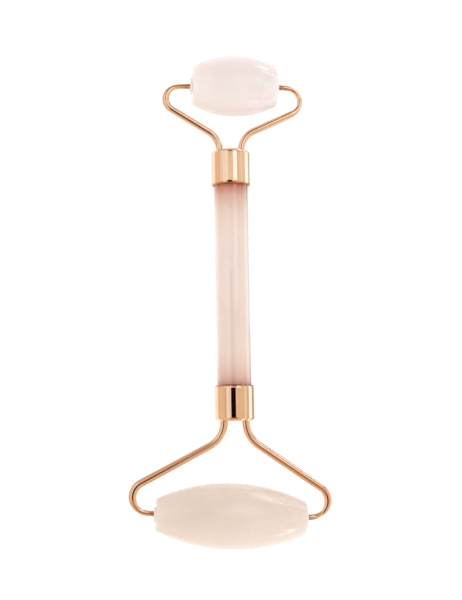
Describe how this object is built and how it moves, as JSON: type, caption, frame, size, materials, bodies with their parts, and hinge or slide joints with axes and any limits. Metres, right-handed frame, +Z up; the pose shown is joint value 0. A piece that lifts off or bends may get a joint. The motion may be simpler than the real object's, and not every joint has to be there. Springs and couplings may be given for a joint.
{
  "type": "face roller",
  "caption": "Straight round stone handle with a metal ferrule and a bent wire yoke at each end, each yoke holding a free-turning barrel-shaped stone roller: a long one and a short one.",
  "frame": {"origin": "on the table, under the middle of the tool's bounding box, with the tool lying on its two rollers", "axes": "+Y along the handle towards the small roller, +X to the right seen from above, +Z up from the table"},
  "size_m": [0.0592, 0.1452, 0.0191],
  "materials": {
    "handle_quartz": "polished rose quartz, pale pink, slightly translucent",
    "small_roller_quartz": "polished rose quartz, very pale pink, cloudy, slightly translucent",
    "large_roller_quartz": "polished rose quartz, pale beige pink, cloudy, slightly translucent",
    "ferrule_plate": "brass with a polished rose gold plate",
    "wire_plate": "drawn brass wire with a polished rose gold plate",
    "bush_plastic": "off-white nylon, smooth",
    "cured_glue": "cured epoxy glue"
  },
  "bodies": {
    "frame": {"handle_rod": "handle_quartz", "small_end_ferrule": "ferrule_plate", "large_end_ferrule": "ferrule_plate", "small_end_glue_plug": "cured_glue", "large_end_glue_plug": "cured_glue", "small_yoke_wire": "wire_plate", "large_yoke_wire": "wire_plate"},
    "small_roller": {"small_roller_stone": "small_roller_quartz", "small_roller_bush_left": "bush_plastic", "small_roller_bush_right": "bush_plastic"},
    "large_roller": {"large_roller_stone": "large_roller_quartz", "large_roller_bush_left": "bush_plastic", "large_roller_bush_right": "bush_plastic"}
  },
  "joints": [
    {"name": "small_roller_spin", "type": "hinge", "parent": "frame", "child": "small_roller", "pos_m": [0.00296, 0.0636, 0.00901], "axis": [1, 0, 0], "continuous": true},
    {"name": "large_roller_spin", "type": "hinge", "parent": "frame", "child": "large_roller", "pos_m": [-0.00007, -0.06303, 0.00953], "axis": [0.9988, -0.048, 0.0002], "continuous": true}
  ]
}
